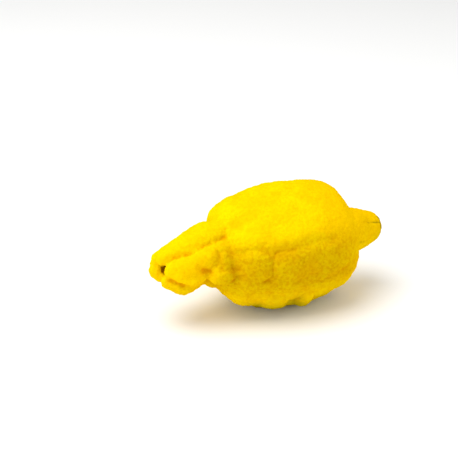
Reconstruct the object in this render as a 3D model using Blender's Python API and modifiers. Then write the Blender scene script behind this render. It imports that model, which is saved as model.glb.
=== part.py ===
"""A citron fruit lying on its side: a warty yellow rind drawn out into a neck of finger-like
lobes at the stem end and into a blunt nipple at the flower end, with the dried stem button
sunk in the hollow between the lobes.

Blender 4.5, metres, +Z up. The fruit's long axis runs along X, stem end at -X, and the
origin is under the middle of the fruit on the surface that it rests on. While it is being
shaped, the fruit lies with its axis on X and its stem end at x = 0, in millimetres. A place
on it is then (x, turn): turn is the angle round the axis in degrees, 0 at the top and 90 at
the front, which is the -Y side.
"""

import math
import random

import bmesh
import bpy
from mathutils import Matrix, Vector, noise

MM = 0.001

RIND_COLOUR = (0.93, 0.60, 0.010, 1.0)
STEM_COLOUR = (0.19, 0.11, 0.035, 1.0)

# Driving dimensions, in millimetres.
LENGTH = 175.6
NIPPLE_RISE = 1.3
BODY_RISE = 1.2
REST_DEPTH = 1.0
SEAT_X = 10.5
SEAT_DEPTH = 1.6
SEAT_GAP = 0.3
SEAT_MOUTH = 6.0
CALYX_RADIUS = 3.2
CALYX_HEIGHT = 2.6
CALYX_BEVEL = 0.8
CALYX_LOBES = 5
CALYX_LOBE_DEPTH = 0.5
STUB_RADIUS = 1.7
STUB_HEIGHT = 4.8
STUB_TAPER = 0.1

# The rind's relief, in millimetres: how high each kind is, and how wide its lumps are.
BODY_START = 39.0
TIP_LENGTH = 24.0
BODY_BLEND = 14.0
HOLLOW_RADIUS = 9.0
HOLLOW_BLEND = 4.0
LEAST_RADIUS = 6.0
WANDER = 1.6
WANDER_SIZE = 12.0
WARTS = 2.0
WART_SIZE = 15.0
SWELLS = 0.9
SWELL_SIZE = 26.0
RIPPLES = 0.35
RIPPLE_SIZE = 9.0
FURROW_REACH = 3.0
TOP_TURN = 10.0
TOP_CALM = 0.7
NECK_SWELLS = 0.4
MOUND_FULLNESS = 0.85

# The soft flank between body and nipple, along the fruit and in turns.
FLANK_START = 134.0
FLANK_END = 164.0
FLANK_BLEND = 6.0
FLANK_TURNS = (-5.0, 100.0)
FLANK_TURN_BLEND = 30.0

# Mesh fineness.
TURN_STEPS = 64
STEM_STEPS = 30
STATIONS_PER_SPAN = 4
BALLS_PER_SPAN = 6
VOXEL = 1.2
MERGE = 1e-4
SMOOTHING_STEPS = 4
RELIEF_SMOOTHING_STEPS = 1
FLANK_SMOOTHING_STEPS = 45
FRUIT_TRIANGLES = 9000

# Half outlines of the turned shapes: (x, radius).
BODY = [
    (38, 0), (38.5, 9), (42, 18.5), (47, 26.0), (52.5, 31.1), (60, 35.2), (71, 38.9), (80, 41.1),
    (90, 42.7), (102, 43.3), (112, 42.9), (123, 40.8), (132, 38.4), (138, 34.4), (143, 28.6),
    (147, 21.3), (149, 13), (149.5, 0),
]
NIPPLE = [
    (135, 0), (137, 20), (145, 18.6), (150, 17.5), (155, 16.4), (161, 14.8), (167, 12.8),
    (171, 11.0), (173.8, 8.8), (LENGTH, 6.2), (175.2, 4.2), (174.0, 2.0), (173.6, 0),
]
NECK = [(SEAT_X, 0), (SEAT_X, 8), (22, 10), (36, 12.5), (48, 17), (60, 21), (60, 0)]


def place(x, turn, distance):
    """The point at that distance from the fruit's axis."""
    angle = math.radians(turn)
    return Vector((x, -distance * math.sin(angle), distance * math.cos(angle)))


def smooth_line(points, t):
    """A smooth curve through the points, at t from 0 to 1."""
    last = len(points) - 1
    i = min(int(t * last), last - 1)
    u = t * last - i
    a, b = Vector(points[i]), Vector(points[i + 1])
    before = Vector(points[i - 1]) if i > 0 else a * 2 - b
    after = Vector(points[i + 2]) if i + 2 <= last else b * 2 - a
    return 0.5 * (
        2 * a
        + (b - before) * u
        + (2 * before - 5 * a + 4 * b - after) * u * u
        + (3 * a - before - 3 * b + after) * u * u * u
    )


def smoothed(outline):
    """The half outline with more stations, on a smooth curve through the given ones."""
    steps = STATIONS_PER_SPAN * (len(outline) - 1)
    stations = [smooth_line(outline, n / steps) for n in range(steps + 1)]
    return [(x, max(r, 0.0)) for x, r in stations]


def add_turned(bm, outline, steps, rise=0.0):
    """A closed shape turned about the fruit's axis, or about a line that much above it."""
    verts = [bm.verts.new((x, 0.0, r + rise)) for x, r in outline]
    edges = [bm.edges.new(pair) for pair in zip(verts, verts[1:])]
    bmesh.ops.spin(
        bm, geom=verts + edges, cent=(0, 0, rise), axis=(1, 0, 0),
        angle=2 * math.pi, steps=steps, use_merge=True,
    )


def add_ball(bm, centre, radius):
    bmesh.ops.create_icosphere(
        bm, subdivisions=3, radius=radius, matrix=Matrix.Translation(centre)
    )


def add_finger(bm, route):
    """A lobe along a route of (x, turn, distance from the axis, radius)."""
    stations = BALLS_PER_SPAN * (len(route) - 1)
    for n in range(stations + 1):
        x, turn, distance, radius = smooth_line(route, n / stations)
        add_ball(bm, place(x, turn, distance), radius)


# The neck's finger-like lobes from the stem hollow to the body, the far rim of the hollow, and
# the flank where the body runs out into the nipple: (x, turn, distance from the axis, radius).
FINGERS = {
    "top": [
        (5, 0, 8.8, 5.0), (12, 2, 11.0, 7.0), (21, 4, 13.8, 9.4), (30, 6, 17.3, 11.2),
        (37, 7, 18.8, 12.0), (45, 8, 19.2, 10.4), (54, 9, 19.0, 9.0), (62, 10, 18.0, 8.0),
    ],
    "front": [
        (9.5, 76, 9.8, 6.8), (14, 77, 10.8, 9.4), (19, 77, 12.0, 9.8), (23, 74, 12.6, 8.6),
    ],
    "front_high": [
        (24, 58, 13.5, 7.6), (30, 53, 15.6, 8.8), (37, 48, 17.8, 8.6), (44, 44, 19.2, 7.8),
        (52, 40, 19.0, 7.4), (60, 38, 18.0, 6.0),
    ],
    "front_step": [
        (42, 57, 20.2, 6.8), (43, 66, 20.0, 7.2), (43.5, 74, 19.6, 6.8),
    ],
    "front_low": [
        (17, 98, 13.4, 6.6), (21, 97, 15.2, 7.0), (24, 96, 15.4, 6.4),
    ],
    "under": [
        (4.2, 122, 10.2, 4.2), (9, 127, 12.4, 5.0), (14, 131, 14.8, 5.8), (19, 128, 14.2, 6.0),
        (25, 122, 13.0, 5.6),
    ],
    "back_low": [
        (9, 186, 8.0, 4.8), (15, 190, 10.6, 6.8), (26, 190, 12.0, 7.6), (36, 188, 11.8, 6.6),
        (45, 186, 15.0, 7.4),
    ],
    "back": [
        (3.6, 244, 8.8, 6.0), (12, 246, 11.0, 8.0), (25, 244, 13.0, 9.0), (40, 240, 16.0, 10.0),
        (54, 238, 20.0, 9.0),
    ],
    "far_rim": [
        (6.5, 298, 9.0, 5.4), (5.4, 275, 9.4, 6.0), (5.0, 250, 9.0, 6.2), (6.0, 225, 8.8, 5.6),
    ],
    "back_top": [
        (4, 304, 9.4, 4.8), (14, 304, 11.5, 7.2), (28, 308, 14.0, 9.4), (44, 312, 17.5, 9.6),
    ],
    "flower_flank": [
        (136, 60, 16.0, 17.5), (143, 59, 13.0, 16.0), (149, 57, 10.0, 13.5), (154, 55, 8.0, 9.5),
    ],
}

# Round knobs of the neck: (x, turn, distance, radius).
KNOBS = [
    (21.5, 91, 15.4, 6.6),
    (31.0, 80, 12.5, 7.6),
    (48.0, 70, 20.3, 6.4),
    (38.0, 93, 19.6, 7.8),
    (42.0, 93, 20.6, 8.1),
    (50.0, 112, 21.4, 6.0),
    (46.0, 204, 20.0, 7.5),
    (49.0, 278, 21.0, 8.0),
]


def metre_mesh(bm, name):
    """The closed shapes made in millimetres, as one mesh in metres."""
    bmesh.ops.remove_doubles(bm, verts=bm.verts, dist=MERGE)
    bmesh.ops.recalc_face_normals(bm, faces=bm.faces)
    bmesh.ops.scale(bm, vec=(MM, MM, MM), verts=bm.verts)
    mesh = bpy.data.meshes.new(name)
    bm.to_mesh(mesh)
    bm.free()
    return mesh


def rough_mesh():
    """Body, nipple, neck and lobes as overlapping closed shapes."""
    bm = bmesh.new()
    add_turned(bm, smoothed(BODY), TURN_STEPS, rise=BODY_RISE)
    add_turned(bm, smoothed(NIPPLE), TURN_STEPS, rise=NIPPLE_RISE)
    add_turned(bm, smoothed(NECK), TURN_STEPS)
    for route in FINGERS.values():
        add_finger(bm, route)
    for x, turn, distance, radius in KNOBS:
        add_ball(bm, place(x, turn, distance), radius)
    return metre_mesh(bm, "rough_fruit")


def evaluated(obj):
    """A plain mesh of what the object's modifiers make."""
    graph = bpy.context.evaluated_depsgraph_get()
    return bpy.data.meshes.new_from_object(obj.evaluated_get(graph))


def fused(mesh):
    """The overlapping shapes as one skin, with soft creases where they meet."""
    obj = bpy.data.objects.new("fusing", mesh)
    bpy.context.scene.collection.objects.link(obj)
    remesh = obj.modifiers.new("fuse", "REMESH")
    remesh.mode = "VOXEL"
    remesh.voxel_size = VOXEL * MM
    skin = evaluated(obj)
    bpy.data.objects.remove(obj)
    return softened(skin, SMOOTHING_STEPS)


def softened(mesh, steps, share=None):
    """The mesh smoothed by that many steps, all over or by the share from 0 to 1 of each place."""
    obj = bpy.data.objects.new("softening", mesh)
    bpy.context.scene.collection.objects.link(obj)
    smooth = obj.modifiers.new("soften", "SMOOTH")
    smooth.factor = 0.5
    smooth.iterations = steps
    if share is not None:
        group = obj.vertex_groups.new(name="where")
        for vertex in mesh.vertices:
            group.add([vertex.index], share(vertex.co / MM), "REPLACE")
        smooth.vertex_group = group.name
    skin = evaluated(obj)
    bpy.data.objects.remove(obj)
    return skin


def ramp(value, width):
    """0 below zero, 1 above the width, and straight between."""
    return min(max(value / width, 0.0), 1.0)


def flank_share(point):
    """1 on the front of the flank between body and nipple, 0 elsewhere."""
    turn = math.degrees(math.atan2(-point.y, point.z))
    along = ramp(point.x - FLANK_START, FLANK_BLEND) * ramp(FLANK_END - point.x, FLANK_BLEND)
    low, high = FLANK_TURNS
    return along * ramp(turn - low, FLANK_TURN_BLEND) * ramp(high - turn, FLANK_TURN_BLEND)


# Furrows in the rind: a route of (x, turn), then depth and half width in millimetres.
FURROWS = [
    ([(50, 60), (58, 61), (66, 64)], 1.0, 3.4),
    ([(70, 66), (80, 68), (90, 68), (98, 65), (108, 64), (116, 66)], 1.4, 3.6),
    ([(8, 40), (15, 35.5), (22, 39.5), (26, 37), (30, 34.5), (38, 34), (45, 31)], 0.6, 1.5),
    ([(52, 28), (64, 30), (76, 31)], 0.6, 4.0),
    ([(37, 52), (37, 60), (37.5, 68)], 0.7, 1.5),
    ([(74, 67.5), (81, 68.5), (87, 68)], 0.6, 1.4),
    ([(43.5, 126), (45.5, 114), (46.5, 102)], 0.5, 1.4),
    ([(38, 78), (43, 80.5), (49, 82)], 0.9, 1.5),
    ([(3, 94), (8, 106), (13, 112), (19, 110), (25, 106)], 1.6, 1.8),
    ([(91, 107), (100, 104.5), (110, 103), (118, 101), (129, 102)], 0.9, 1.8),
    ([(72, 68), (71, 78), (70.5, 91), (68, 94)], 0.8, 1.3),
    ([(92, 79), (92, 91)], 0.5, 1.6),
    ([(50, 96), (62, 97), (75, 98), (88, 98), (100, 95)], 0.9, 2.8),
    ([(50, 120), (62, 118), (77, 117), (92, 113), (104, 108)], 1.0, 3.0),
    ([(54, 222), (76, 218), (100, 222), (130, 217)], 1.2, 3.4),
    ([(58, 264), (84, 258), (110, 263), (136, 258)], 1.3, 3.4),
    ([(56, 300), (80, 305), (108, 301), (134, 306)], 1.1, 3.4),
    ([(150, 53), (157, 51), (163, 48.5), (168, 49.7), (175, 50.5)], 0.6, 1.0),
    ([(142, 79), (147, 82), (151, 85), (157, 95), (161, 98)], 0.7, 1.6),
    ([(120, 0), (117, 10), (112, 20), (106, 30), (102, 38)], 0.3, 2.6),
]

# Round dents: (x, turn, half width, depth).
DENTS = [
    (26.5, 80, 3.0, 1.6),
    (31, 85, 2.6, 1.2),
    (23, 72, 2.6, 1.0),
    (50, 22, 5.0, 0.6),
    (97, 30, 6.0, 0.9),
    (131, 32, 8.0, 0.9),
    (66, 98, 3.0, 0.8),
    (91, 137, 4.4, 2.4),
    (105, 130, 4.5, 1.0),
]

# Mounds: (x, turn), half length, half width, height, in millimetres.
MOUNDS = [
    (60, 81, 11.5, 12.5, 1.8),
    (82, 84, 10.5, 12.5, 1.5),
    (98, 76, 7.5, 6.5, 1.1),
    (101, 87, 8.0, 6.5, 1.0),
    (112, 78, 7.5, 7.5, 0.9),
    (124, 86, 8.5, 9.0, 0.6),
    (114, 104, 9.0, 8.0, 0.9),
    (65, 107, 8.5, 6.5, 0.9),
    (82, 106, 8.5, 6.5, 0.9),
    (54.5, 142, 9.5, 14.0, 2.6),
    (77.5, 140, 10.0, 15.0, 2.7),
    (99, 134, 6.2, 12.0, 2.4),
    (60, 47, 17.0, 8.0, 0.9),
    (86, 52, 14.0, 8.0, 0.6),
    (108, 46, 12.0, 9.0, 0.6),
    (126, -4, 22.0, 24.0, 1.5),
    (56, -27, 19.0, 25.0, 3.8),
    (78, -16, 31.0, 26.0, 2.6),
    (136, 98, 8.5, 13.0, 2.2),
]

# Low mounds that the fruit lies on, round its centre of mass: as MOUNDS.
RESTING_MOUNDS = [
    (79, 173, 13.0, 13.0, 3.2),
    (81, 191, 12.0, 12.0, 3.2),
    (107, 171, 13.0, 13.0, 1.6),
    (106, 189, 12.0, 13.0, 1.6),
]


def far_side_mounds():
    """Mounds in loose rows round the side that faces away, jittered but always the same."""
    chance = random.Random(11)
    mounds = []
    for row in range(6):
        turn = 208 + 21 * row
        high = 1.1 if turn > 300 else 2.0
        for column in range(5):
            x = 58 + 19 * column + 9 * (row % 2) + chance.uniform(-3, 3)
            mounds.append((
                x, turn + chance.uniform(-5, 5), chance.uniform(9, 12.5),
                chance.uniform(9, 12), high * chance.uniform(0.6, 1.1),
            ))
    return mounds


ALL_MOUNDS = MOUNDS + RESTING_MOUNDS + far_side_mounds()


def arc_gap(turn, other, radius):
    """The distance round the fruit between two turns, in millimetres."""
    return math.radians((turn - other + 180) % 360 - 180) * radius


def furrow_depth(x, turn, radius):
    depth = 0.0
    for route, deep, half_width in FURROWS:
        reach = FURROW_REACH * half_width
        if not min(p[0] for p in route) - reach < x < max(p[0] for p in route) + reach:
            continue
        gap = math.inf
        for (xa, ta), (xb, tb) in zip(route, route[1:]):
            a = Vector((xa - x, arc_gap(ta, turn, radius)))
            along = Vector((xb - xa, arc_gap(tb, ta, radius)))
            share = min(max(-a.dot(along) / along.length_squared, 0.0), 1.0)
            gap = min(gap, (a + along * share).length)
        depth += deep * math.exp(-((gap / half_width) ** 2))
    for xd, td, half_width, deep in DENTS:
        gap = math.hypot(x - xd, arc_gap(turn, td, radius))
        depth += deep * math.exp(-((gap / half_width) ** 2))
    return depth


def mound_height(x, turn, radius):
    height = 0.0
    for xm, tm, half_length, half_width, high in ALL_MOUNDS:
        across = arc_gap(turn, tm, radius)
        q = ((x - xm) / half_length) ** 2 + (across / half_width) ** 2
        if q < 1:
            height = max(height, high * (1 - q) ** MOUND_FULLNESS)
    return height


def wave(point, size, offset=0.0):
    """Smooth noise from about -1 to 1, its lumps about that many millimetres across."""
    return noise.noise(point / size + Vector((offset, offset, offset)), noise_basis="PERLIN_NEW")


def relief(point):
    """How far the rind stands out at this point of the fused skin, in millimetres."""
    from_axis = math.hypot(point.y, point.z)
    radius = max(from_axis, LEAST_RADIUS)
    x = point.x + WANDER * wave(point, WANDER_SIZE, 3.1)
    wander = WANDER / radius * wave(point, WANDER_SIZE, 7.7)
    turn = math.degrees(math.atan2(-point.y, point.z) + wander)
    on_body = ramp(x - BODY_START, BODY_BLEND) * ramp(LENGTH - TIP_LENGTH - x, BODY_BLEND)
    outside = ramp(from_axis - HOLLOW_RADIUS, HOLLOW_BLEND)
    top = max(0.0, math.cos(math.radians(turn - TOP_TURN)))
    rise = on_body * mound_height(x, turn, radius)
    rise -= outside * furrow_depth(x, turn, radius)
    rise += on_body * (1.0 - TOP_CALM * top) * WARTS * abs(wave(point, WART_SIZE, 1.3))
    rise += (NECK_SWELLS + (1.0 - NECK_SWELLS) * on_body) * SWELLS * wave(point, SWELL_SIZE)
    rise += RIPPLES * wave(point, RIPPLE_SIZE, 5.0)
    return rise


def raise_relief(mesh):
    """Moves every vertex along its normal by the relief there."""
    normals = [v.normal.copy() for v in mesh.vertices]
    for vertex, normal in zip(mesh.vertices, normals):
        vertex.co += normal * (relief(vertex.co / MM) * MM)
    mesh.update()


def thinned(mesh, triangles):
    """The same skin with about that many triangles."""
    obj = bpy.data.objects.new("thinning", mesh)
    bpy.context.scene.collection.objects.link(obj)
    mesh.calc_loop_triangles()
    decimate = obj.modifiers.new("thin", "DECIMATE")
    decimate.ratio = triangles / len(mesh.loop_triangles)
    result = evaluated(obj)
    bpy.data.objects.remove(obj)
    return result


def rest_height(mesh):
    """Where the underside is cut flat: a little above the fruit's lowest point."""
    return min(v.co.z for v in mesh.vertices) + REST_DEPTH * MM


def flat_spot(mesh, height):
    """Cuts the underside flat at that height, where the fruit has settled on what it lies on."""
    bm = bmesh.new()
    bm.from_mesh(mesh)
    geometry = bm.verts[:] + bm.edges[:] + bm.faces[:]
    bmesh.ops.bisect_plane(
        bm, geom=geometry, plane_co=(0, 0, height), plane_no=(0, 0, -1), clear_outer=True
    )
    bmesh.ops.holes_fill(bm, edges=[e for e in bm.edges if e.is_boundary], sides=0)
    bmesh.ops.recalc_face_normals(bm, faces=bm.faces)
    bm.to_mesh(mesh)
    bm.free()


def material(name, colour, roughness):
    made = bpy.data.materials.new(name)
    made.use_nodes = True
    shader = made.node_tree.nodes["Principled BSDF"]
    shader.inputs["Base Color"].default_value = colour
    shader.inputs["Roughness"].default_value = roughness
    return made


def seat_mesh():
    """The round cutter of the stem button's seat, from the hollow's mouth inward."""
    bm = bmesh.new()
    deep = SEAT_MOUTH + SEAT_DEPTH
    middle = Vector((SEAT_X + SEAT_DEPTH - deep / 2, 0.0, 0.0))
    bmesh.ops.create_cone(
        bm, cap_ends=True, segments=STEM_STEPS, depth=deep,
        radius1=CALYX_RADIUS + SEAT_GAP, radius2=CALYX_RADIUS + SEAT_GAP,
        matrix=Matrix.Translation(middle) @ Matrix.Rotation(math.pi / 2, 4, "Y"),
    )
    return metre_mesh(bm, "stem_seat")


def button_mesh():
    """The dried calyx, lobed round its edge, with the stub of the cut stem on it."""
    base = SEAT_X + SEAT_DEPTH - SEAT_GAP
    top = base - CALYX_HEIGHT
    bm = bmesh.new()
    add_turned(bm, [
        (base, 0), (base, CALYX_RADIUS), (top + CALYX_BEVEL, CALYX_RADIUS),
        (top, CALYX_RADIUS - CALYX_BEVEL), (top, STUB_RADIUS),
        (base - STUB_HEIGHT, STUB_RADIUS - STUB_TAPER), (base - STUB_HEIGHT, 0),
    ], STEM_STEPS)
    for vert in bm.verts:
        radius = math.hypot(vert.co.y, vert.co.z)
        if radius > STUB_RADIUS + MERGE:
            wave_round = 0.5 - 0.5 * math.cos(CALYX_LOBES * math.atan2(vert.co.y, vert.co.z))
            slim = 1.0 - CALYX_LOBE_DEPTH * wave_round / radius
            vert.co.y *= slim
            vert.co.z *= slim
    return metre_mesh(bm, "stem_button")


def new_collection(name):
    collection = bpy.data.collections.new(name)
    bpy.context.scene.collection.children.link(collection)
    return collection


def new_part(name, mesh, shift, collection):
    """The mesh as a smooth-shaded object, moved from the shaping frame to where it rests."""
    mesh.name = name
    mesh.transform(Matrix.Translation(shift))
    mesh.shade_smooth()
    obj = bpy.data.objects.new(name, mesh)
    collection.objects.link(obj)
    return obj


def main():
    for old in list(bpy.data.objects):
        bpy.data.objects.remove(old)
    citron = new_collection("citron")
    cutters = new_collection("cutters")
    cutters.hide_render = True

    skin = softened(fused(rough_mesh()), FLANK_SMOOTHING_STEPS, flank_share)
    raise_relief(skin)
    skin = softened(skin, RELIEF_SMOOTHING_STEPS)
    skin = thinned(skin, FRUIT_TRIANGLES)
    flat_spot(skin, rest_height(skin))
    lows = [min(v.co[i] for v in skin.vertices) for i in range(3)]
    highs = [max(v.co[i] for v in skin.vertices) for i in range(3)]
    shift = Vector((-(lows[0] + highs[0]) / 2, -(lows[1] + highs[1]) / 2, -lows[2]))
    fruit = new_part("fruit", skin, shift, citron)
    fruit.data.materials.append(material("rind", RIND_COLOUR, 0.45))

    seat = new_part("stem_seat", seat_mesh(), shift, cutters)
    seat.hide_render = True
    seat.display_type = "WIRE"
    cut = fruit.modifiers.new("stem seat", "BOOLEAN")
    cut.operation = "DIFFERENCE"
    cut.solver = "EXACT"
    cut.object = seat

    button = new_part("stem_button", button_mesh(), shift, citron)
    button.data.materials.append(material("stem", STEM_COLOUR, 0.8))


main()
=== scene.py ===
import math
import random

import bmesh
import bpy
import numpy as np
from mathutils import Matrix, Vector, noise


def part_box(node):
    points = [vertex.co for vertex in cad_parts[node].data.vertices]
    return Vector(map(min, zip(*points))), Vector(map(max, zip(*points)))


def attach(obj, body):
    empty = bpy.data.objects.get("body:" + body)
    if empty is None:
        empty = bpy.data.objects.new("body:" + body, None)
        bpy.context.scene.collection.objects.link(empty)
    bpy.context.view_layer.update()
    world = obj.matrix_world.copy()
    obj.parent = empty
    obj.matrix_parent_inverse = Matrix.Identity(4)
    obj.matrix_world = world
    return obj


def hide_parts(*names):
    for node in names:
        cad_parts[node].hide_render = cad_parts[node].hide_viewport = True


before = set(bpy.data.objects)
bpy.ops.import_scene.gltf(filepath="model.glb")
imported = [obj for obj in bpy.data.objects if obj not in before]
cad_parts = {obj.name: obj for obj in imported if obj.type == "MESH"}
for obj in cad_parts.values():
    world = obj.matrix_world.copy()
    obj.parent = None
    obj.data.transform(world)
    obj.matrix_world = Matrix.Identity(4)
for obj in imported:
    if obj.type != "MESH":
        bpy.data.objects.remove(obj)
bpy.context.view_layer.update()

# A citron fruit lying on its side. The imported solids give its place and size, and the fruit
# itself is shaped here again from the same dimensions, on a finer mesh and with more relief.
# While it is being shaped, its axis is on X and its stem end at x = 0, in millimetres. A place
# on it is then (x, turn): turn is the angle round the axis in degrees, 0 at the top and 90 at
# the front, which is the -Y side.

MM = 0.001

# Driving dimensions, in millimetres.
LENGTH = 175.6
NIPPLE_RISE = 1.3
BODY_RISE = 1.2
REST_DEPTH = 1.0
SEAT_X = 10.5
SEAT_DEPTH = 1.6
SEAT_GAP = 0.3
SEAT_MOUTH = 6.0
CALYX_RADIUS = 3.2
CALYX_HEIGHT = 2.6
CALYX_BEVEL = 0.8
CALYX_LOBES = 5
CALYX_LOBE_DEPTH = 0.5
STUB_RADIUS = 1.7
STUB_HEIGHT = 4.8
STUB_TAPER = 0.1

# The rind's relief, in millimetres: how high each kind is, and how wide its lumps are.
BODY_START = 39.0
TIP_LENGTH = 24.0
BODY_BLEND = 14.0
HOLLOW_RADIUS = 9.0
HOLLOW_BLEND = 4.0
LEAST_RADIUS = 6.0
WANDER = 1.6
WANDER_SIZE = 12.0
WARTS = 2.0
WART_SIZE = 15.0
SWELLS = 0.9
SWELL_SIZE = 26.0
RIPPLES = 0.35
RIPPLE_SIZE = 9.0
FURROW_REACH = 3.0
TOP_TURN = 10.0
TOP_CALM = 0.7
NECK_SWELLS = 0.4
MOUND_FULLNESS = 0.85

# The soft flank between body and nipple, along the fruit and in turns.
FLANK_START = 134.0
FLANK_END = 164.0
FLANK_BLEND = 6.0
FLANK_TURNS = (-5.0, 100.0)
FLANK_TURN_BLEND = 30.0

# Mesh fineness.
TURN_STEPS = 120
STEM_STEPS = 60
STATIONS_PER_SPAN = 4
BALLS_PER_SPAN = 6
VOXEL = 0.77
MERGE = 1e-4
SMOOTHING_STEPS = 7
RELIEF_SMOOTHING_STEPS = 1
FLANK_SMOOTHING_STEPS = 105

# Half outlines of the turned shapes: (x, radius).
BODY = [
    (38, 0), (38.5, 9), (42, 18.5), (47, 26.0), (52.5, 31.1), (60, 35.2), (71, 38.9), (80, 41.1),
    (90, 42.7), (102, 43.3), (112, 42.9), (123, 40.8), (132, 38.4), (138, 34.4), (143, 28.6),
    (147, 21.3), (149, 13), (149.5, 0),
]
NIPPLE = [
    (135, 0), (137, 20), (145, 18.6), (150, 17.5), (155, 16.4), (161, 14.8), (167, 12.8),
    (171, 11.0), (173.8, 8.8), (LENGTH, 6.2), (175.2, 4.2), (174.0, 2.0), (173.6, 0),
]
NECK = [(SEAT_X, 0), (SEAT_X, 8), (22, 10), (36, 12.5), (48, 17), (60, 21), (60, 0)]


def place(x, turn, distance):
    """The point at that distance from the fruit's axis."""
    angle = math.radians(turn)
    return Vector((x, -distance * math.sin(angle), distance * math.cos(angle)))


def smooth_line(points, t):
    """A smooth curve through the points, at t from 0 to 1."""
    last = len(points) - 1
    i = min(int(t * last), last - 1)
    u = t * last - i
    a, b = Vector(points[i]), Vector(points[i + 1])
    before = Vector(points[i - 1]) if i > 0 else a * 2 - b
    after = Vector(points[i + 2]) if i + 2 <= last else b * 2 - a
    return 0.5 * (
        2 * a
        + (b - before) * u
        + (2 * before - 5 * a + 4 * b - after) * u * u
        + (3 * a - before - 3 * b + after) * u * u * u
    )


def smoothed(outline):
    """The half outline with more stations, on a smooth curve through the given ones."""
    steps = STATIONS_PER_SPAN * (len(outline) - 1)
    stations = [smooth_line(outline, n / steps) for n in range(steps + 1)]
    return [(x, max(r, 0.0)) for x, r in stations]


def add_turned(bm, outline, steps, rise=0.0):
    """A closed shape turned about the fruit's axis, or about a line that much above it."""
    verts = [bm.verts.new((x, 0.0, r + rise)) for x, r in outline]
    edges = [bm.edges.new(pair) for pair in zip(verts, verts[1:])]
    bmesh.ops.spin(
        bm, geom=verts + edges, cent=(0, 0, rise), axis=(1, 0, 0),
        angle=2 * math.pi, steps=steps, use_merge=True,
    )


def add_ball(bm, centre, radius):
    bmesh.ops.create_icosphere(
        bm, subdivisions=3, radius=radius, matrix=Matrix.Translation(centre)
    )


def add_finger(bm, route):
    """A lobe along a route of (x, turn, distance from the axis, radius)."""
    stations = BALLS_PER_SPAN * (len(route) - 1)
    for n in range(stations + 1):
        x, turn, distance, radius = smooth_line(route, n / stations)
        add_ball(bm, place(x, turn, distance), radius)


# The neck's finger-like lobes from the stem hollow to the body, the far rim of the hollow, and
# the flank where the body runs out into the nipple: (x, turn, distance from the axis, radius).
FINGERS = {
    "top": [
        (5, 0, 8.8, 5.0), (12, 2, 11.0, 7.0), (21, 4, 13.8, 9.4), (30, 6, 17.3, 11.2),
        (37, 7, 18.8, 12.0), (45, 8, 19.2, 10.4), (54, 9, 19.0, 9.0), (62, 10, 18.0, 8.0),
    ],
    "front": [
        (9.5, 76, 9.8, 6.8), (14, 77, 10.8, 9.4), (19, 77, 12.0, 9.8), (23, 74, 12.6, 8.6),
    ],
    "front_high": [
        (24, 58, 13.5, 7.6), (30, 53, 15.6, 8.8), (37, 48, 17.8, 8.6), (44, 44, 19.2, 7.8),
        (52, 40, 19.0, 7.4), (60, 38, 18.0, 6.0),
    ],
    "front_step": [
        (42, 57, 20.2, 6.8), (43, 66, 20.0, 7.2), (43.5, 74, 19.6, 6.8),
    ],
    "front_low": [
        (17, 98, 13.4, 6.6), (21, 97, 15.2, 7.0), (24, 96, 15.4, 6.4),
    ],
    "under": [
        (4.2, 122, 10.2, 4.2), (9, 127, 12.4, 5.0), (14, 131, 14.8, 5.8), (19, 128, 14.2, 6.0),
        (25, 122, 13.0, 5.6),
    ],
    "back_low": [
        (9, 186, 8.0, 4.8), (15, 190, 10.6, 6.8), (26, 190, 12.0, 7.6), (36, 188, 11.8, 6.6),
        (45, 186, 15.0, 7.4),
    ],
    "back": [
        (3.6, 244, 8.8, 6.0), (12, 246, 11.0, 8.0), (25, 244, 13.0, 9.0), (40, 240, 16.0, 10.0),
        (54, 238, 20.0, 9.0),
    ],
    "far_rim": [
        (6.5, 298, 9.0, 5.4), (5.4, 275, 9.4, 6.0), (5.0, 250, 9.0, 6.2), (6.0, 225, 8.8, 5.6),
    ],
    "back_top": [
        (4, 304, 9.4, 4.8), (14, 304, 11.5, 7.2), (28, 308, 14.0, 9.4), (44, 312, 17.5, 9.6),
    ],
    "flower_flank": [
        (136, 60, 16.0, 17.5), (143, 59, 13.0, 16.0), (149, 57, 10.0, 13.5), (154, 55, 8.0, 9.5),
    ],
}

# Round knobs of the neck: (x, turn, distance, radius).
KNOBS = [
    (21.5, 91, 15.4, 6.6),
    (31.0, 80, 12.5, 7.6),
    (48.0, 70, 20.3, 6.4),
    (38.0, 93, 19.6, 7.8),
    (42.0, 93, 20.6, 8.1),
    (50.0, 112, 21.4, 6.0),
    (46.0, 204, 20.0, 7.5),
    (49.0, 278, 21.0, 8.0),
]


def metre_mesh(bm, name):
    """The closed shapes made in millimetres, as one mesh in metres."""
    bmesh.ops.remove_doubles(bm, verts=bm.verts, dist=MERGE)
    bmesh.ops.recalc_face_normals(bm, faces=bm.faces)
    bmesh.ops.scale(bm, vec=(MM, MM, MM), verts=bm.verts)
    mesh = bpy.data.meshes.new(name)
    bm.to_mesh(mesh)
    bm.free()
    return mesh


def rough_mesh():
    """Body, nipple, neck and lobes as overlapping closed shapes."""
    bm = bmesh.new()
    add_turned(bm, smoothed(BODY), TURN_STEPS, rise=BODY_RISE)
    add_turned(bm, smoothed(NIPPLE), TURN_STEPS, rise=NIPPLE_RISE)
    add_turned(bm, smoothed(NECK), TURN_STEPS)
    for route in FINGERS.values():
        add_finger(bm, route)
    for x, turn, distance, radius in KNOBS:
        add_ball(bm, place(x, turn, distance), radius)
    return metre_mesh(bm, "rough_fruit")


def evaluated(obj):
    """A plain mesh of what the object's modifiers make."""
    graph = bpy.context.evaluated_depsgraph_get()
    return bpy.data.meshes.new_from_object(obj.evaluated_get(graph))


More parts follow.
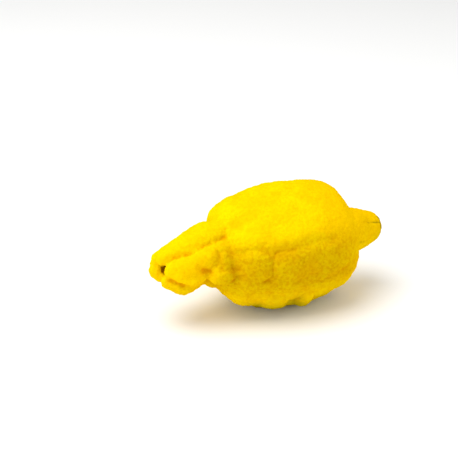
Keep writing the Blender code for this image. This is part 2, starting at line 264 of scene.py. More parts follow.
def fused(mesh):
    """The overlapping shapes as one skin, with soft creases where they meet."""
    obj = bpy.data.objects.new("fusing", mesh)
    bpy.context.scene.collection.objects.link(obj)
    remesh = obj.modifiers.new("fuse", "REMESH")
    remesh.mode = "VOXEL"
    remesh.voxel_size = VOXEL * MM
    skin = evaluated(obj)
    bpy.data.objects.remove(obj)
    return softened(skin, SMOOTHING_STEPS)


def softened(mesh, steps, share=None):
    """The mesh smoothed by that many steps, all over or by the share from 0 to 1 of each place."""
    obj = bpy.data.objects.new("softening", mesh)
    bpy.context.scene.collection.objects.link(obj)
    smooth = obj.modifiers.new("soften", "SMOOTH")
    smooth.factor = 0.5
    smooth.iterations = steps
    if share is not None:
        group = obj.vertex_groups.new(name="where")
        for vertex in mesh.vertices:
            group.add([vertex.index], share(vertex.co / MM), "REPLACE")
        smooth.vertex_group = group.name
    skin = evaluated(obj)
    bpy.data.objects.remove(obj)
    return skin


def ramp(value, width):
    """0 below zero, 1 above the width, and straight between."""
    return min(max(value / width, 0.0), 1.0)


def flank_share(point):
    """1 on the front of the flank between body and nipple, 0 elsewhere."""
    turn = math.degrees(math.atan2(-point.y, point.z))
    along = ramp(point.x - FLANK_START, FLANK_BLEND) * ramp(FLANK_END - point.x, FLANK_BLEND)
    low, high = FLANK_TURNS
    return along * ramp(turn - low, FLANK_TURN_BLEND) * ramp(high - turn, FLANK_TURN_BLEND)


# Furrows in the rind: a route of (x, turn), then depth and half width in millimetres.
FURROWS = [
    ([(50, 60), (58, 61), (66, 64)], 1.0, 3.4),
    ([(70, 66), (80, 68), (90, 68), (98, 65), (108, 64), (116, 66)], 1.4, 3.6),
    ([(8, 40), (15, 35.5), (22, 39.5), (26, 37), (30, 34.5), (38, 34), (45, 31)], 0.6, 1.5),
    ([(52, 28), (64, 30), (76, 31)], 0.6, 4.0),
    ([(37, 52), (37, 60), (37.5, 68)], 0.7, 1.5),
    ([(74, 67.5), (81, 68.5), (87, 68)], 0.6, 1.4),
    ([(43.5, 126), (45.5, 114), (46.5, 102)], 0.5, 1.4),
    ([(38, 78), (43, 80.5), (49, 82)], 0.9, 1.5),
    ([(3, 94), (8, 106), (13, 112), (19, 110), (25, 106)], 1.6, 1.8),
    ([(91, 107), (100, 104.5), (110, 103), (118, 101), (129, 102)], 0.9, 1.8),
    ([(72, 68), (71, 78), (70.5, 91), (68, 94)], 0.8, 1.3),
    ([(92, 79), (92, 91)], 0.5, 1.6),
    ([(50, 96), (62, 97), (75, 98), (88, 98), (100, 95)], 0.9, 2.8),
    ([(50, 120), (62, 118), (77, 117), (92, 113), (104, 108)], 1.0, 3.0),
    ([(54, 222), (76, 218), (100, 222), (130, 217)], 1.2, 3.4),
    ([(58, 264), (84, 258), (110, 263), (136, 258)], 1.3, 3.4),
    ([(56, 300), (80, 305), (108, 301), (134, 306)], 1.1, 3.4),
    ([(150, 53), (157, 51), (163, 48.5), (168, 49.7), (175, 50.5)], 0.6, 1.0),
    ([(142, 79), (147, 82), (151, 85), (157, 95), (161, 98)], 0.7, 1.6),
    ([(120, 0), (117, 10), (112, 20), (106, 30), (102, 38)], 0.3, 2.6),
]

# Round dents: (x, turn, half width, depth).
DENTS = [
    (26.5, 80, 3.0, 1.6),
    (31, 85, 2.6, 1.2),
    (23, 72, 2.6, 1.0),
    (50, 22, 5.0, 0.6),
    (97, 30, 6.0, 0.9),
    (131, 32, 8.0, 0.9),
    (66, 98, 3.0, 0.8),
    (91, 137, 4.4, 2.4),
    (105, 130, 4.5, 1.0),
]

# Mounds: (x, turn), half length, half width, height, in millimetres.
MOUNDS = [
    (60, 81, 11.5, 12.5, 1.8),
    (82, 84, 10.5, 12.5, 1.5),
    (98, 76, 7.5, 6.5, 1.1),
    (101, 87, 8.0, 6.5, 1.0),
    (112, 78, 7.5, 7.5, 0.9),
    (124, 86, 8.5, 9.0, 0.6),
    (114, 104, 9.0, 8.0, 0.9),
    (65, 107, 8.5, 6.5, 0.9),
    (82, 106, 8.5, 6.5, 0.9),
    (54.5, 142, 9.5, 14.0, 2.6),
    (77.5, 140, 10.0, 15.0, 2.7),
    (99, 134, 6.2, 12.0, 2.4),
    (60, 47, 17.0, 8.0, 0.9),
    (86, 52, 14.0, 8.0, 0.6),
    (108, 46, 12.0, 9.0, 0.6),
    (126, -4, 22.0, 24.0, 1.5),
    (56, -27, 19.0, 25.0, 3.8),
    (78, -16, 31.0, 26.0, 2.6),
    (136, 98, 8.5, 13.0, 2.2),
]

# Low mounds that the fruit lies on, round its centre of mass: as MOUNDS.
RESTING_MOUNDS = [
    (79, 173, 13.0, 13.0, 3.2),
    (81, 191, 12.0, 12.0, 3.2),
    (107, 171, 13.0, 13.0, 1.6),
    (106, 189, 12.0, 13.0, 1.6),
]


def far_side_mounds():
    """Mounds in loose rows round the side that faces away, jittered but always the same."""
    chance = random.Random(11)
    mounds = []
    for row in range(6):
        turn = 208 + 21 * row
        high = 1.1 if turn > 300 else 2.0
        for column in range(5):
            x = 58 + 19 * column + 9 * (row % 2) + chance.uniform(-3, 3)
            mounds.append((
                x, turn + chance.uniform(-5, 5), chance.uniform(9, 12.5),
                chance.uniform(9, 12), high * chance.uniform(0.6, 1.1),
            ))
    return mounds


ALL_MOUNDS = MOUNDS + RESTING_MOUNDS + far_side_mounds()


def arc_gap(turn, other, radius):
    """The distance round the fruit between two turns, in millimetres."""
    return math.radians((turn - other + 180) % 360 - 180) * radius


def furrow_depth(x, turn, radius):
    depth = 0.0
    for route, deep, half_width in FURROWS:
        reach = FURROW_REACH * half_width
        if not min(p[0] for p in route) - reach < x < max(p[0] for p in route) + reach:
            continue
        gap = math.inf
        for (xa, ta), (xb, tb) in zip(route, route[1:]):
            a = Vector((xa - x, arc_gap(ta, turn, radius)))
            along = Vector((xb - xa, arc_gap(tb, ta, radius)))
            share = min(max(-a.dot(along) / along.length_squared, 0.0), 1.0)
            gap = min(gap, (a + along * share).length)
        depth += deep * math.exp(-((gap / half_width) ** 2))
    for xd, td, half_width, deep in DENTS:
        gap = math.hypot(x - xd, arc_gap(turn, td, radius))
        depth += deep * math.exp(-((gap / half_width) ** 2))
    return depth


def mound_height(x, turn, radius):
    height = 0.0
    for xm, tm, half_length, half_width, high in ALL_MOUNDS:
        across = arc_gap(turn, tm, radius)
        q = ((x - xm) / half_length) ** 2 + (across / half_width) ** 2
        if q < 1:
            height = max(height, high * (1 - q) ** MOUND_FULLNESS)
    return height


def wave(point, size, offset=0.0):
    """Smooth noise from about -1 to 1, its lumps about that many millimetres across."""
    return noise.noise(point / size + Vector((offset, offset, offset)), noise_basis="PERLIN_NEW")


def relief(point):
    """How far the rind stands out at this point of the fused skin, in millimetres."""
    from_axis = math.hypot(point.y, point.z)
    radius = max(from_axis, LEAST_RADIUS)
    x = point.x + WANDER * wave(point, WANDER_SIZE, 3.1)
    wander = WANDER / radius * wave(point, WANDER_SIZE, 7.7)
    turn = math.degrees(math.atan2(-point.y, point.z) + wander)
    on_body = ramp(x - BODY_START, BODY_BLEND) * ramp(LENGTH - TIP_LENGTH - x, BODY_BLEND)
    outside = ramp(from_axis - HOLLOW_RADIUS, HOLLOW_BLEND)
    top = max(0.0, math.cos(math.radians(turn - TOP_TURN)))
    rise = on_body * mound_height(x, turn, radius)
    rise -= outside * furrow_depth(x, turn, radius)
    rise += on_body * (1.0 - TOP_CALM * top) * WARTS * abs(wave(point, WART_SIZE, 1.3))
    rise += (NECK_SWELLS + (1.0 - NECK_SWELLS) * on_body) * SWELLS * wave(point, SWELL_SIZE)
    rise += RIPPLES * wave(point, RIPPLE_SIZE, 5.0)
    return rise


def raise_relief(mesh):
    """Moves every vertex along its normal by the relief there."""
    normals = [v.normal.copy() for v in mesh.vertices]
    for vertex, normal in zip(mesh.vertices, normals):
        vertex.co += normal * (relief(vertex.co / MM) * MM)
    mesh.update()


def rest_height(mesh):
    """Where the underside is cut flat: a little above the fruit's lowest point."""
    return min(v.co.z for v in mesh.vertices) + REST_DEPTH * MM


def flat_spot(mesh, height):
    """Cuts the underside flat at that height, where the fruit has settled on what it lies on."""
    bm = bmesh.new()
    bm.from_mesh(mesh)
    geometry = bm.verts[:] + bm.edges[:] + bm.faces[:]
    bmesh.ops.bisect_plane(
        bm, geom=geometry, plane_co=(0, 0, height), plane_no=(0, 0, -1), clear_outer=True
    )
    bmesh.ops.holes_fill(bm, edges=[e for e in bm.edges if e.is_boundary], sides=0)
    bmesh.ops.recalc_face_normals(bm, faces=bm.faces)
    bm.to_mesh(mesh)
    bm.free()


def seat_mesh():
    """The round cutter of the stem button's seat, from the hollow's mouth inward."""
    bm = bmesh.new()
    deep = SEAT_MOUTH + SEAT_DEPTH
    middle = Vector((SEAT_X + SEAT_DEPTH - deep / 2, 0.0, 0.0))
    bmesh.ops.create_cone(
        bm, cap_ends=True, segments=STEM_STEPS, depth=deep,
        radius1=CALYX_RADIUS + SEAT_GAP, radius2=CALYX_RADIUS + SEAT_GAP,
        matrix=Matrix.Translation(middle) @ Matrix.Rotation(math.pi / 2, 4, "Y"),
    )
    return metre_mesh(bm, "stem_seat")


def button_mesh():
    """The dried calyx, lobed round its edge, with the stub of the cut stem on it."""
    base = SEAT_X + SEAT_DEPTH - SEAT_GAP
    top = base - CALYX_HEIGHT
    bm = bmesh.new()
    add_turned(bm, [
        (base, 0), (base, CALYX_RADIUS), (top + CALYX_BEVEL, CALYX_RADIUS),
        (top, CALYX_RADIUS - CALYX_BEVEL), (top, STUB_RADIUS),
        (base - STUB_HEIGHT, STUB_RADIUS - STUB_TAPER), (base - STUB_HEIGHT, 0),
    ], STEM_STEPS)
    for vert in bm.verts:
        radius = math.hypot(vert.co.y, vert.co.z)
        if radius > STUB_RADIUS + MERGE:
            wave_round = 0.5 - 0.5 * math.cos(CALYX_LOBES * math.atan2(vert.co.y, vert.co.z))
            slim = 1.0 - CALYX_LOBE_DEPTH * wave_round / radius
            vert.co.y *= slim
            vert.co.z *= slim
    return metre_mesh(bm, "stem_button")


# Finer relief than the solids have: low pebbles and shallow dimples all over, in millimetres.
PEBBLE_SIZE = 3.0
PEBBLE_HEIGHT = 0.65
PEBBLE_LEVEL = 0.5
DIMPLE_SIZE = 7.0
DIMPLE_DEPTH = 0.30
DIMPLE_OFFSET = 9.0


def raise_pebbles(mesh):
    """Small rounded lumps and shallow dimples over the whole rind."""
    normals = [v.normal.copy() for v in mesh.vertices]
    for vertex, normal in zip(mesh.vertices, normals):
        point = vertex.co / MM
        near = noise.voronoi(point / PEBBLE_SIZE)[0][0]
        height = PEBBLE_HEIGHT * (PEBBLE_LEVEL - near)
        height -= DIMPLE_DEPTH * max(0.0, wave(point, DIMPLE_SIZE, DIMPLE_OFFSET)) ** 2
        vertex.co += normal * (height * MM)
    mesh.update()


def cut_by(mesh, cutter_mesh):
    """The mesh with the cutter's space taken out."""
    obj = bpy.data.objects.new("cutting", mesh)
    cutter = bpy.data.objects.new("cutter", cutter_mesh)
    for each in (obj, cutter):
        bpy.context.scene.collection.objects.link(each)
    cut = obj.modifiers.new("cut", "BOOLEAN")
    cut.operation = "DIFFERENCE"
    cut.solver = "EXACT"
    cut.object = cutter
    result = evaluated(obj)
    bpy.data.objects.remove(obj)
    bpy.data.objects.remove(cutter)
    return result


def vertex_array(mesh, what):
    """One row of three numbers for each vertex."""
    values = np.empty(len(mesh.vertices) * 3)
    mesh.vertices.foreach_get(what, values)
    return values.reshape(-1, 3)


def spread(points, ends, steps):
    """The points after that many steps of averaging with their neighbours."""
    starts, stops = ends.T
    count = np.bincount(np.concatenate([starts, stops]), minlength=len(points))
    for _ in range(steps):
        total = np.empty_like(points)
        for axis in range(3):
            total[:, axis] = np.bincount(starts, points[stops, axis], len(points))
            total[:, axis] += np.bincount(stops, points[starts, axis], len(points))
        points = 0.5 * points + 0.5 * total / count[:, None]
    return points


def sunkenness(mesh, steps):
    """How far each vertex lies below the skin round it, in millimetres; below zero on a bump."""
    points = vertex_array(mesh, "co")
    ends = np.empty(len(mesh.edges) * 2, dtype=np.int64)
    mesh.edges.foreach_get("vertices", ends)
    moved = spread(points, ends.reshape(-1, 2), steps) - points
    normals = np.empty(len(mesh.vertices) * 3)
    mesh.vertex_normals.foreach_get("vector", normals)
    return (moved * normals.reshape(-1, 3)).sum(1) / MM


def smooth_ramp(values, span):
    """0 below the span, 1 above it, and smooth between."""
    low, high = span
    share = np.clip((values - low) / (high - low), 0.0, 1.0)
    return share * share * (3.0 - 2.0 * share)


def smooth_fall(values, span):
    """1 below the span, 0 above it, and smooth between."""
    return 1.0 - smooth_ramp(values, span)


# Small round dabs: (x, turn, half width, strength). The pits are painted shade in small hollows;
# the flecks are stains, all but the first, which is painted shade between two low lobes.
PIT_SHADES = [
    (26.0, 80, 2.4, 0.3),
    (31.0, 85, 2.4, 0.4),
    (45.5, 103, 1.8, 0.6),
    (54.0, 24, 4.0, 0.4),
]
FLECKS_AND_SHADE = [
    # Painted shade between two low lobes.
    (94.0, 127, 2.6, 0.4),
    (141.0, 98, 0.8, 0.6),
    (173.0, 30, 1.5, 0.5),
    (173.0, 70, 1.6, 0.5),
]


def dabs(places, stains):
    """How strongly each place is dabbed, from 0 to 1, by stains or by painted shade."""
    turn = np.degrees(np.arctan2(-places[:, 1], places[:, 2]))
    radius = np.hypot(places[:, 1], places[:, 2])
    total = np.zeros(len(places))
    for x, at, half_width, strength in stains:
        across = np.radians((turn - at + 180.0) % 360.0 - 180.0) * radius
        gap = np.hypot(places[:, 0] - x, across)
        total += strength * np.exp(-((gap / half_width) ** 2))
    return total


# Painted shade: thin dark lines along the nipple's grooves: a route of (x, turn), then half width
# and strength.
GROOVE_SHADE_LINES = [
    ([(159, 50), (163, 48.5), (168, 49.7)], 0.5, 0.45),
    ([(166, 49.2), (168, 49.7), (175, 50.5)], 0.5, 0.85),
    ([(144, 80), (147, 82), (151, 85), (157, 95)], 0.9, 0.3),
]
GROOVE_SHADE_START = 138.0


def groove_shade_nearness(place):
    """How near a place is to the painted-shade lines in the nipple's grooves, from 0 to 1."""
    if place[0] < GROOVE_SHADE_START:
        return 0.0
    radius = math.hypot(place[1], place[2])
    turn = math.degrees(math.atan2(-place[1], place[2]))
    nearness = 0.0
    for route, half_width, dark in GROOVE_SHADE_LINES:
        for (xa, ta), (xb, tb) in zip(route, route[1:]):
            a = Vector((xa - place[0], arc_gap(ta, turn, radius)))
            along = Vector((xb - xa, arc_gap(tb, ta, radius)))
            share = min(max(-a.dot(along) / along.length_squared, 0.0), 1.0)
            gap = (a + along * share).length
            nearness = max(nearness, dark * math.exp(-((gap / half_width) ** 2)))
    return nearness


# Painted shade in creases: steps of averaging, how deep a fine and a broad one lies, and what each
# counts for.
FINE_STEPS = 4
BROAD_STEPS = 44
FINE_DEPTHS = (0.03, 0.26)
BROAD_DEPTHS = (0.22, 1.5)
FINE_SHARE = 0.5
BROAD_SHARE = 0.75


# Painted shade: how strongly each vertex's crease is darkened, from its sunkenness and the pit
# dabs.
def crease_shade_share(mesh, place_mm):
    fine = smooth_ramp(sunkenness(mesh, FINE_STEPS), FINE_DEPTHS) * FINE_SHARE
    broad = smooth_ramp(sunkenness(mesh, BROAD_STEPS), BROAD_DEPTHS) * BROAD_SHARE
    return np.clip(fine + broad + dabs(place_mm, PIT_SHADES), 0.0, 1.0)


# The stem hollow's inside, painted partly the dried stem end's brown and partly as painted shade
# of the deep recess: distances from the axis, and where it starts and ends along the fruit.
HOLLOW_EDGE = (4.0, 6.5)
HOLLOW_START = (5.0, 9.0)
HOLLOW_END = (13.0, 18.0)


def hollow_share(place_mm):
    x = place_mm[:, 0]
    from_axis = np.hypot(place_mm[:, 1], place_mm[:, 2])
    inside = smooth_fall(from_axis, HOLLOW_EDGE)
    return inside * smooth_ramp(x, HOLLOW_START) * smooth_fall(x, HOLLOW_END)


# The scar that the flower left on the nipple's end: a disc, and a fainter rim round it. Its brown
# also carries the painted shade of the groove lines and of one fleck.
SCAR_START = (172.3, 173.2)
SCAR_DISC = (2.2, 4.0)
SCAR_RIM_SHARE = 0.5
END_DEPTH = 1.0


def scar_and_shade_share(place_mm):
    x = place_mm[:, 0]
    end = place_mm[x > x.max() - END_DEPTH].mean(0)
    from_end = np.hypot(place_mm[:, 1] - end[1], place_mm[:, 2] - end[2])
    disc = SCAR_RIM_SHARE + (1.0 - SCAR_RIM_SHARE) * smooth_fall(from_end, SCAR_DISC)
    groove_shade = np.array([groove_shade_nearness(p) for p in place_mm])
    return np.maximum(smooth_ramp(x, SCAR_START) * disc, groove_shade) + dabs(place_mm, FLECKS_AND_SHADE)


# Green tinge: low on the body, and under the tip.
GREEN_LOW = (-38.0, -14.0)
GREEN_LOW_START = (42.0, 60.0)
GREEN_TIP_START = (160.0, 174.0)
GREEN_TIP_LOW = (-6.0, 6.0)
GREEN_TIP_SHARE = 0.8


def green_share(x, rise):
    low = smooth_fall(rise, GREEN_LOW) * smooth_ramp(x, GREEN_LOW_START)
    tip = smooth_ramp(x, GREEN_TIP_START) * smooth_fall(rise, GREEN_TIP_LOW)
    return np.maximum(low, GREEN_TIP_SHARE * tip)


# Golden places, partly the rind's own tone and partly painted shade: the nipple's half of the
# body, more so on top, and faintly the neck.
GOLDEN_AND_SHADE_START = (98.0, 126.0)
GOLDEN_AND_SHADE_HIGH = (-10.0, 18.0)
GOLDEN_AND_SHADE_LEAST = 0.05
GOLDEN_AND_SHADE_ON_TOP = 0.85
GOLDEN_AND_SHADE_NECK_END = (24.0, 48.0)
GOLDEN_AND_SHADE_NECK_SHARE = 0.35


def golden_tone_and_shade_share(x, rise):
    far = smooth_ramp(x, GOLDEN_AND_SHADE_START) * (GOLDEN_AND_SHADE_LEAST + GOLDEN_AND_SHADE_ON_TOP * smooth_ramp(rise, GOLDEN_AND_SHADE_HIGH))
    return np.maximum(far, GOLDEN_AND_SHADE_NECK_SHARE * smooth_fall(x, GOLDEN_AND_SHADE_NECK_END))


# Painted shade darkening the lower half, weaker further down and towards the nipple.
LOWER_SHADE_HIGH = (9.0, 29.0)
LOWER_SHADE_START = (27.0, 44.0)
LOWER_SHADE_LOW = (-24.0, -8.0)
LOWER_SHADE_LOW_LOSS = 0.68
LOWER_SHADE_END = (116.0, 148.0)
LOWER_SHADE_END_LOSS = 0.75
LOWER_SHADE_NECK_HIGH = (-14.0, -4.0)
LOWER_SHADE_NECK_END = (40.0, 50.0)
LOWER_SHADE_NECK_SHARE = 0.4


def lower_shade_share(x, rise):
    body = smooth_fall(rise, LOWER_SHADE_HIGH) * (1.0 - LOWER_SHADE_LOW_LOSS * smooth_fall(rise, LOWER_SHADE_LOW))
    body *= smooth_ramp(x, LOWER_SHADE_START) * (1.0 - LOWER_SHADE_END_LOSS * smooth_ramp(x, LOWER_SHADE_END))
    neck = smooth_fall(rise, LOWER_SHADE_NECK_HIGH) * smooth_fall(x, LOWER_SHADE_NECK_END)
    return np.maximum(body, LOWER_SHADE_NECK_SHARE * neck)


# Painted shade on the underside, as heights from the axis.
UNDERSIDE_SHADE = (-38.0, -25.0)


def mark_rind(mesh, shift):
    """Stores, for each vertex, the shares from 0 to 1 that the rind's material reads by name."""
    place_mm = (vertex_array(mesh, "co") - np.array(shift)) / MM
    x = place_mm[:, 0]
    rise = place_mm[:, 2]
    # The crease, lower-half and underside shares are painted shade; the hollow, scar and golden
    # shares are partly painted shade.
    shares = {
        "crease_shade": crease_shade_share(mesh, place_mm),
        "hollow": hollow_share(place_mm),
        "scar_and_shade": scar_and_shade_share(place_mm),
        "golden_tone_and_shade": golden_tone_and_shade_share(x, rise),
        "deep": lower_shade_share(x, rise),
        "under": smooth_fall(rise, UNDERSIDE_SHADE),
        "green": green_share(x, rise),
    }
    for name, values in shares.items():
        attribute = mesh.attributes.new(name, "FLOAT", "POINT")
        attribute.data.foreach_set("value", np.asarray(values, dtype=np.float32))


def fit_inside(mesh, corners):
    """Shrinks the mesh by the hair that its finer bumps stand out of the box, if they do."""
    points = vertex_array(mesh, "co")
    low, high = np.array(corners[0]), np.array(corners[1])
    middle = (low + high) / 2
    middle[2] = low[2]
    half = np.abs(points - middle).max(0)
    allowed = np.minimum(middle - low, high - middle)
    allowed[2] = high[2] - low[2]
    share = np.minimum(1.0, allowed / half)
    points = middle + (points - middle) * share
    mesh.vertices.foreach_set("co", points.ravel())
    mesh.update()


# A colour mix's sockets go by number, because its plain and its colour sockets share names.
MIX_FIRST = 6
MIX_SECOND = 7
MIX_RESULT = 2


class Nodes:
    """Short ways to make and join a material's nodes."""

    def __init__(self, name):
        self.material = bpy.data.materials.new(name)
        self.material.use_nodes = True
        self.tree = self.material.node_tree
        self.shader = self.tree.nodes["Principled BSDF"]
        self.place = self.tree.nodes.new("ShaderNodeTexCoord").outputs["Object"]

    def join(self, value, socket):
        """Links another node's output, or sets a plain value."""
        if isinstance(value, bpy.types.NodeSocket):
            self.tree.links.new(value, socket)
        else:
            socket.default_value = value

    def value(self, name):
        """A share stored with the mesh's vertices."""
        node = self.tree.nodes.new("ShaderNodeAttribute")
        node.attribute_name = name
        return node.outputs["Fac"]

    def noise(self, size, detail=2.0, roughness=0.5, warp=0.0):
        node = self.tree.nodes.new("ShaderNodeTexNoise")
        self.join(self.place, node.inputs["Vector"])
        node.inputs["Scale"].default_value = 1.0 / size
        node.inputs["Detail"].default_value = detail
        node.inputs["Roughness"].default_value = roughness
        node.inputs["Distortion"].default_value = warp
        return node.outputs["Fac"]

    def cells(self, size):
        node = self.tree.nodes.new("ShaderNodeTexVoronoi")
        self.join(self.place, node.inputs["Vector"])
        node.inputs["Scale"].default_value = 1.0 / size
        return node.outputs["Distance"]

    def ramp(self, value, low, high, to_low=0.0, to_high=1.0):
        node = self.tree.nodes.new("ShaderNodeMapRange")
        node.interpolation_type = "SMOOTHSTEP"
        self.join(value, node.inputs["Value"])
        node.inputs["From Min"].default_value = low
        node.inputs["From Max"].default_value = high
        node.inputs["To Min"].default_value = to_low
        node.inputs["To Max"].default_value = to_high
        return node.outputs["Result"]

    def combine(self, kind, a, b):
        node = self.tree.nodes.new("ShaderNodeMath")
        node.operation = kind
        self.join(a, node.inputs[0])
        self.join(b, node.inputs[1])
        return node.outputs["Value"]

    def mix(self, share, a, b):
        node = self.tree.nodes.new("ShaderNodeMix")
        node.data_type = "RGBA"
        self.join(share, node.inputs["Factor"])
        self.join(a, node.inputs[MIX_FIRST])
        self.join(b, node.inputs[MIX_SECOND])
        return node.outputs[MIX_RESULT]

    def tint(self, share, colour, by):
        """The colour multiplied by another one, where the share is 1."""
        tinted = self.mix(share, colour, by)
        tinted.node.blend_type = "MULTIPLY"
        return tinted

    def bump(self, height, distance, strength, under=None):
        node = self.tree.nodes.new("ShaderNodeBump")
        self.join(height, node.inputs["Height"])
        node.inputs["Distance"].default_value = distance
        node.inputs["Strength"].default_value = strength
        if under is not None:
            self.join(under, node.inputs["Normal"])
        return node.outputs["Normal"]


# The rind's colours, and two tints that multiply them. The crease, hollow and scar browns carry
# painted shade, and the two tints are painted shade of the lower half and of the underside.
LEMON = (0.90, 0.635, 0.0006, 1.0)
GOLD = (0.88, 0.54, 0.0006, 1.0)
ORANGE = (0.74, 0.37, 0.0006, 1.0)
CREASE_SHADE_BROWN = (0.74, 0.33, 0.0005, 1.0)
OLIVE = (0.56, 0.46, 0.004, 1.0)
HOLLOW_BROWN_AND_SHADE = (0.20, 0.095, 0.006, 1.0)
SCAR_AND_SHADE_BROWN = (0.20, 0.15, 0.004, 1.0)
LOWER_SHADE_TINT = (0.75, 0.72, 0.8, 1.0)
UNDERSIDE_SHADE_TINT = (0.42, 0.45, 0.8, 1.0)

# Sizes of the rind's patterns, in metres.
MOTTLE = 0.014
SPECKLE = 0.0024
PORE = 0.00145
CREASE_SHADE_PATCH = 0.006
GREEN_PATCH = 0.012
SCAR_AND_SHADE_PATCH = 0.0025
SHEEN_PATCH = 0.004
GRAIN = 0.0011
GRAIN_HEIGHT = 0.00012
PORE_DEPTH = 0.00022
PORE_STAIN = 0.22


def rind_material():
    n = Nodes("rind_peel")
    mottle = n.ramp(n.noise(MOTTLE, detail=3.0, warp=0.4), 0.35, 0.68)
    # Lemon mottled with gold; the golden share is partly painted shade.
    colour = n.mix(n.combine("MAXIMUM", mottle, n.value("golden_tone_and_shade")), LEMON, GOLD)
    speckle = n.ramp(n.noise(SPECKLE, detail=2.0), 0.40, 0.66)
    # Orange speckles, stronger where the lower half has painted shade.
    speckle_share = n.ramp(n.value("deep"), 0.0, 1.0, to_low=0.2, to_high=0.6)
    colour = n.mix(n.combine("MULTIPLY", speckle, speckle_share), colour, ORANGE)
    pores = n.cells(PORE)
    pit = n.ramp(pores, 0.05, 0.42, to_low=1.0, to_high=0.0)
    colour = n.mix(n.combine("MULTIPLY", pit, PORE_STAIN), colour, ORANGE)
    # Painted shade: creases and pits darkened towards brown.
    crease_shade_patch = n.ramp(n.noise(CREASE_SHADE_PATCH), 0.2, 0.7, to_low=0.75)
    colour = n.mix(n.combine("MULTIPLY", n.value("crease_shade"), crease_shade_patch), colour, CREASE_SHADE_BROWN)
    # Painted shade: the lower half darkened by a tint, read from the share named deep.
    colour = n.tint(n.value("deep"), colour, LOWER_SHADE_TINT)
    # Painted shade: the underside darkened by a tint.
    colour = n.tint(n.value("under"), colour, UNDERSIDE_SHADE_TINT)
    green_patch = n.ramp(n.noise(GREEN_PATCH, detail=3.0), 0.40, 0.62, to_high=0.6)
    colour = n.mix(n.combine("MULTIPLY", n.value("green"), green_patch), colour, OLIVE)
    # The stem hollow's inside: partly its own brown, partly painted shade of the recess.
    colour = n.mix(n.value("hollow"), colour, HOLLOW_BROWN_AND_SHADE)
    # The flower scar's own brown, plus painted shade in the nipple's grooves and between two low
    # lobes.
    scar_and_shade_patch = n.ramp(n.noise(SCAR_AND_SHADE_PATCH), 0.3, 0.6, to_low=0.5)
    colour = n.mix(n.combine("MULTIPLY", n.value("scar_and_shade"), scar_and_shade_patch), colour, SCAR_AND_SHADE_BROWN)
    n.join(colour, n.shader.inputs["Base Color"])
    sheen = n.ramp(n.noise(SHEEN_PATCH), 0.3, 0.7, to_low=0.42, to_high=0.56)
    n.join(sheen, n.shader.inputs["Roughness"])
    n.shader.inputs["Specular IOR Level"].default_value = 0.0
    grain = n.bump(n.noise(GRAIN, detail=3.0, roughness=0.6), GRAIN_HEIGHT, 0.5)
    pored = n.bump(n.ramp(pores, 0.0, 0.5), PORE_DEPTH, 0.6, under=grain)
    n.join(pored, n.shader.inputs["Normal"])
    return n.material


STEM_BROWN = (0.26, 0.15, 0.05, 1.0)
STEM_DARK = (0.10, 0.055, 0.02, 1.0)
STEM_STREAK = 0.0012
STEM_GRAIN = 0.0006
STEM_GRAIN_HEIGHT = 0.0002


def stem_material():
    n = Nodes("stem_wood")
    streak = n.ramp(n.noise(STEM_STREAK, detail=4.0, warp=1.0), 0.3, 0.7)
    n.join(n.mix(streak, STEM_BROWN, STEM_DARK), n.shader.inputs["Base Color"])
    n.shader.inputs["Roughness"].default_value = 0.85
    n.shader.inputs["Specular IOR Level"].default_value = 0.2
    grain = n.bump(n.noise(STEM_GRAIN, detail=4.0), STEM_GRAIN_HEIGHT, 0.8)
    n.join(grain, n.shader.inputs["Normal"])
    return n.material


FLOOR_COLOUR = (0.95, 0.95, 0.94, 1.0)
FLOOR_SIZE = 6.0
WORLD_LIGHT = 0.56

# Soft round lights: place and aim in metres, width in metres, power in watts.
LIGHTS = {
    "overhead": ((-0.42, 0.06, 1.25), (0.0, 0.0, 0.0), 1.3, 14.2),
    "left": ((-1.1, -0.1, 0.38), (-0.06, 0.0, 0.03), 0.6, 3.4),
    "right": ((0.85, -0.62, 0.42), (0.06, 0.0, 0.04), 0.9, 2.8),
}


def floor_material():
    n = Nodes("floor_paper")
    n.shader.inputs["Base Color"].default_value = FLOOR_COLOUR
    n.shader.inputs["Roughness"].default_value = 0.9
    n.shader.inputs["Specular IOR Level"].default_value = 0.0
    return n.material


def new_piece(name, mesh, made_of):
    """An object of that mesh and material, in the scene."""
    mesh.name = name
    mesh.shade_smooth()
    mesh.materials.clear()
    mesh.materials.append(made_of)
    obj = bpy.data.objects.new(name, mesh)
    bpy.context.scene.collection.objects.link(obj)
    return obj


def make_fruit():
    """The rind in its place; gives the shift from the shaping frame to that place."""
    skin = softened(fused(rough_mesh()), FLANK_SMOOTHING_STEPS, flank_share)
    raise_relief(skin)
    skin = softened(skin, RELIEF_SMOOTHING_STEPS)
    raise_pebbles(skin)
    flat_spot(skin, rest_height(skin))
    points = vertex_array(skin, "co")
    lows, highs = points.min(0), points.max(0)
    shift = Vector((-(lows[0] + highs[0]) / 2, -(lows[1] + highs[1]) / 2, -lows[2]))
    skin = cut_by(skin, seat_mesh())
    skin.transform(Matrix.Translation(shift))
    fit_inside(skin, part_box("fruit"))
    mark_rind(skin, shift)
    fruit = new_piece("fruit_rind", skin, rind_material())
    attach(fruit, "root")
    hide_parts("fruit")
    return shift


# The dried wood's unevenness, in millimetres, mostly inward so that it stays in its seat.
WOOD_LUMP = 0.9
WOOD_LUMP_HEIGHT = 0.12
WOOD_LEVEL = 0.6


def roughen(mesh):
    normals = [v.normal.copy() for v in mesh.vertices]
    for vertex, normal in zip(mesh.vertices, normals):
        lump = wave(vertex.co / MM, WOOD_LUMP) - WOOD_LEVEL
        vertex.co += normal * (WOOD_LUMP_HEIGHT * MM * lump)
    mesh.update()


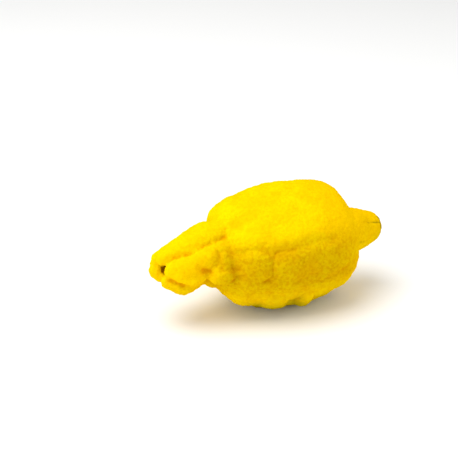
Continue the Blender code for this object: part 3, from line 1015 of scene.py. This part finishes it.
def make_stem_button(shift):
    obj = bpy.data.objects.new("dividing", button_mesh())
    bpy.context.scene.collection.objects.link(obj)
    fine = obj.modifiers.new("fine", "SUBSURF")
    fine.levels = 2
    fine.render_levels = 2
    mesh = evaluated(obj)
    bpy.data.objects.remove(obj)
    roughen(mesh)
    mesh.transform(Matrix.Translation(shift))
    fit_inside(mesh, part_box("stem_button"))
    button = new_piece("stem_button_wood", mesh, stem_material())
    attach(button, "root")
    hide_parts("stem_button")


# The camera: angles in degrees, the photograph's frame in pixels.
AZIMUTH = -25.0
ELEVATION = 25.0
LENS = 100.0
SENSOR = 36.0
FRAME_PX = 458.0
METRES_PER_PX = 0.000715
BODY_MIDDLE_X = 102.0
BODY_MIDDLE_PX = (288.0, 243.5)


def make_camera(shift):
    azimuth, elevation = math.radians(AZIMUTH), math.radians(ELEVATION)
    back = Vector((
        math.sin(azimuth) * math.cos(elevation),
        -math.cos(azimuth) * math.cos(elevation),
        math.sin(elevation),
    ))
    right = Vector((math.cos(azimuth), math.sin(azimuth), 0.0))
    up = back.cross(right)
    middle = Vector((BODY_MIDDLE_X * MM + shift.x, 0.0, shift.z))
    across = (BODY_MIDDLE_PX[0] - FRAME_PX / 2) * METRES_PER_PX
    above = (FRAME_PX / 2 - BODY_MIDDLE_PX[1]) * METRES_PER_PX
    aim = middle - across * right - above * up
    distance = FRAME_PX * METRES_PER_PX * LENS / SENSOR
    data = bpy.data.cameras.new("camera")
    data.lens = LENS
    data.sensor_width = SENSOR
    camera = bpy.data.objects.new("camera", data)
    turn = Matrix((right, up, back)).transposed()
    camera.matrix_world = Matrix.Translation(aim + back * distance) @ turn.to_4x4()
    bpy.context.scene.collection.objects.link(camera)
    bpy.context.scene.camera = camera


def area_light(name, place_m, aim_m, size, power):
    data = bpy.data.lights.new(name, "AREA")
    data.shape = "DISK"
    data.size = size
    data.energy = power
    light = bpy.data.objects.new(name, data)
    light.location = place_m
    light.rotation_euler = (Vector(aim_m) - Vector(place_m)).to_track_quat("-Z", "Y").to_euler()
    bpy.context.scene.collection.objects.link(light)


def make_studio():
    mesh = bpy.data.meshes.new("floor")
    bm = bmesh.new()
    bmesh.ops.create_grid(bm, x_segments=1, y_segments=1, size=FLOOR_SIZE / 2)
    bm.to_mesh(mesh)
    bm.free()
    floor = new_piece("floor", mesh, floor_material())
    world = bpy.data.worlds.new("studio")
    world.use_nodes = True
    sky = world.node_tree.nodes["Background"]
    sky.inputs["Color"].default_value = (1.0, 1.0, 1.0, 1.0)
    sky.inputs["Strength"].default_value = WORLD_LIGHT
    bpy.context.scene.world = world
    for name, (place_m, aim_m, size, power) in LIGHTS.items():
        area_light(name, place_m, aim_m, size, power)


shift = make_fruit()
make_stem_button(shift)
make_camera(shift)
make_studio()

view = bpy.context.scene.view_settings
view.view_transform = "Standard"
view.look = "None"
view.exposure = 0.0
view.gamma = 1.0
